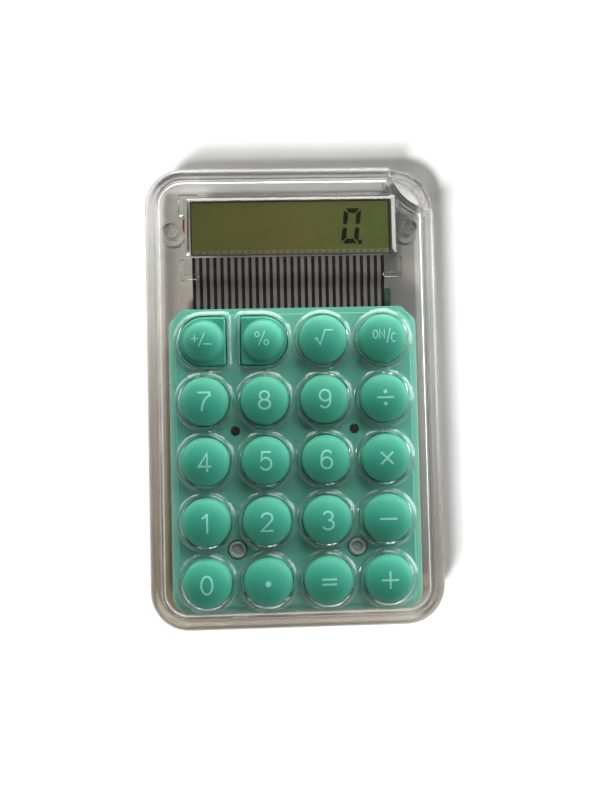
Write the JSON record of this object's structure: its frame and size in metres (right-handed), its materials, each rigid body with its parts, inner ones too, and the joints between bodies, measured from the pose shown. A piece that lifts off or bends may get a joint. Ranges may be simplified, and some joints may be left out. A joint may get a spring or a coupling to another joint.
{
  "type": "desk calculator",
  "caption": "Small four-function desk calculator in a clear case, with round rubber dome keys, a reflective display on a striped ribbon and a lanyard corner.",
  "frame": {"origin": "under the middle of the case, on the plane that the flat back rests on", "axes": "+X to the right of the keys, +Y from the keys towards the display end, +Z out of the keys"},
  "size_m": [0.0742, 0.1172, 0.013],
  "materials": {
    "clear_plastic": "clear moulded plastic, glossy, slightly grey",
    "key_silicone": "soft matt mint silicone with paler printed legends",
    "mat_silicone": "matt translucent mint silicone sheet",
    "carbon_rubber": "matt black conductive rubber",
    "board": "dark green board with carbon pads",
    "resin": "black potting resin",
    "capacitor": "tan ceramic with metal ends",
    "polariser": "olive reflective display film",
    "display_glass": "thin clear glass",
    "reflector": "satin reflector film",
    "end_seal": "dark red cured sealant",
    "ribbon": "grey film with black carbon stripes",
    "cell_can": "satin nickel-plated steel can",
    "contact_metal": "nickel-plated spring sheet",
    "screw_steel": "zinc-plated steel"
  },
  "bodies": {
    "case": {"bottom_shell": "clear_plastic", "top_shell": "clear_plastic", "keypad_mat": "mat_silicone", "circuit_board": "board", "chip_cover": "resin", "supply_capacitor": "capacitor", "lcd_front_polariser": "polariser", "lcd_front_glass": "display_glass", "lcd_rear_glass": "display_glass", "lcd_reflector": "reflector", "lcd_end_seal": "end_seal", "display_ribbon": "ribbon", "button_cell": "cell_can", "cell_contact_positive": "contact_metal", "cell_contact_negative": "contact_metal", "case_screw_left": "screw_steel", "case_screw_right": "screw_steel"},
    "door": {"battery_door": "clear_plastic", "battery_door_screw": "screw_steel"},
    "button_sign": {"key_sign": "key_silicone", "pill_sign": "carbon_rubber"},
    "button_percent": {"key_percent": "key_silicone", "pill_percent": "carbon_rubber"},
    "button_root": {"key_root": "key_silicone", "pill_root": "carbon_rubber"},
    "button_on_clear": {"key_on_clear": "key_silicone", "pill_on_clear": "carbon_rubber"},
    "button_7": {"key_7": "key_silicone", "pill_7": "carbon_rubber"},
    "button_8": {"key_8": "key_silicone", "pill_8": "carbon_rubber"},
    "button_9": {"key_9": "key_silicone", "pill_9": "carbon_rubber"},
    "button_divide": {"key_divide": "key_silicone", "pill_divide": "carbon_rubber"},
    "button_4": {"key_4": "key_silicone", "pill_4": "carbon_rubber"},
    "button_5": {"key_5": "key_silicone", "pill_5": "carbon_rubber"},
    "button_6": {"key_6": "key_silicone", "pill_6": "carbon_rubber"},
    "button_multiply": {"key_multiply": "key_silicone", "pill_multiply": "carbon_rubber"},
    "button_1": {"key_1": "key_silicone", "pill_1": "carbon_rubber"},
    "button_2": {"key_2": "key_silicone", "pill_2": "carbon_rubber"},
    "button_3": {"key_3": "key_silicone", "pill_3": "carbon_rubber"},
    "button_minus": {"key_minus": "key_silicone", "pill_minus": "carbon_rubber"},
    "button_0": {"key_0": "key_silicone", "pill_0": "carbon_rubber"},
    "button_point": {"key_point": "key_silicone", "pill_point": "carbon_rubber"},
    "button_equals": {"key_equals": "key_silicone", "pill_equals": "carbon_rubber"},
    "button_plus": {"key_plus": "key_silicone", "pill_plus": "carbon_rubber"}
  },
  "joints": [
    {"name": "press_sign", "type": "slide", "parent": "case", "child": "button_sign", "axis": [0, 0, -1], "range_m": [0, 0.001], "stiffness_N_per_m": 600},
    {"name": "press_percent", "type": "slide", "parent": "case", "child": "button_percent", "axis": [0, 0, -1], "range_m": [0, 0.001], "stiffness_N_per_m": 600},
    {"name": "press_root", "type": "slide", "parent": "case", "child": "button_root", "axis": [0, 0, -1], "range_m": [0, 0.001], "stiffness_N_per_m": 600},
    {"name": "press_on_clear", "type": "slide", "parent": "case", "child": "button_on_clear", "axis": [0, 0, -1], "range_m": [0, 0.001], "stiffness_N_per_m": 600},
    {"name": "press_7", "type": "slide", "parent": "case", "child": "button_7", "axis": [0, 0, -1], "range_m": [0, 0.001], "stiffness_N_per_m": 600},
    {"name": "press_8", "type": "slide", "parent": "case", "child": "button_8", "axis": [0, 0, -1], "range_m": [0, 0.001], "stiffness_N_per_m": 600},
    {"name": "press_9", "type": "slide", "parent": "case", "child": "button_9", "axis": [0, 0, -1], "range_m": [0, 0.001], "stiffness_N_per_m": 600},
    {"name": "press_divide", "type": "slide", "parent": "case", "child": "button_divide", "axis": [0, 0, -1], "range_m": [0, 0.001], "stiffness_N_per_m": 600},
    {"name": "press_4", "type": "slide", "parent": "case", "child": "button_4", "axis": [0, 0, -1], "range_m": [0, 0.001], "stiffness_N_per_m": 600},
    {"name": "press_5", "type": "slide", "parent": "case", "child": "button_5", "axis": [0, 0, -1], "range_m": [0, 0.001], "stiffness_N_per_m": 600},
    {"name": "press_6", "type": "slide", "parent": "case", "child": "button_6", "axis": [0, 0, -1], "range_m": [0, 0.001], "stiffness_N_per_m": 600},
    {"name": "press_multiply", "type": "slide", "parent": "case", "child": "button_multiply", "axis": [0, 0, -1], "range_m": [0, 0.001], "stiffness_N_per_m": 600},
    {"name": "press_1", "type": "slide", "parent": "case", "child": "button_1", "axis": [0, 0, -1], "range_m": [0, 0.001], "stiffness_N_per_m": 600},
    {"name": "press_2", "type": "slide", "parent": "case", "child": "button_2", "axis": [0, 0, -1], "range_m": [0, 0.001], "stiffness_N_per_m": 600},
    {"name": "press_3", "type": "slide", "parent": "case", "child": "button_3", "axis": [0, 0, -1], "range_m": [0, 0.001], "stiffness_N_per_m": 600},
    {"name": "press_minus", "type": "slide", "parent": "case", "child": "button_minus", "axis": [0, 0, -1], "range_m": [0, 0.001], "stiffness_N_per_m": 600},
    {"name": "press_0", "type": "slide", "parent": "case", "child": "button_0", "axis": [0, 0, -1], "range_m": [0, 0.001], "stiffness_N_per_m": 600},
    {"name": "press_point", "type": "slide", "parent": "case", "child": "button_point", "axis": [0, 0, -1], "range_m": [0, 0.001], "stiffness_N_per_m": 600},
    {"name": "press_equals", "type": "slide", "parent": "case", "child": "button_equals", "axis": [0, 0, -1], "range_m": [0, 0.001], "stiffness_N_per_m": 600},
    {"name": "press_plus", "type": "slide", "parent": "case", "child": "button_plus", "axis": [0, 0, -1], "range_m": [0, 0.001], "stiffness_N_per_m": 600},
    {"name": "door_tilt", "type": "hinge", "parent": "case", "child": "door", "pos_m": [0, -0.0327, 0.0007], "axis": [-1, 0, 0], "range_deg": [0, 60]}
  ]
}
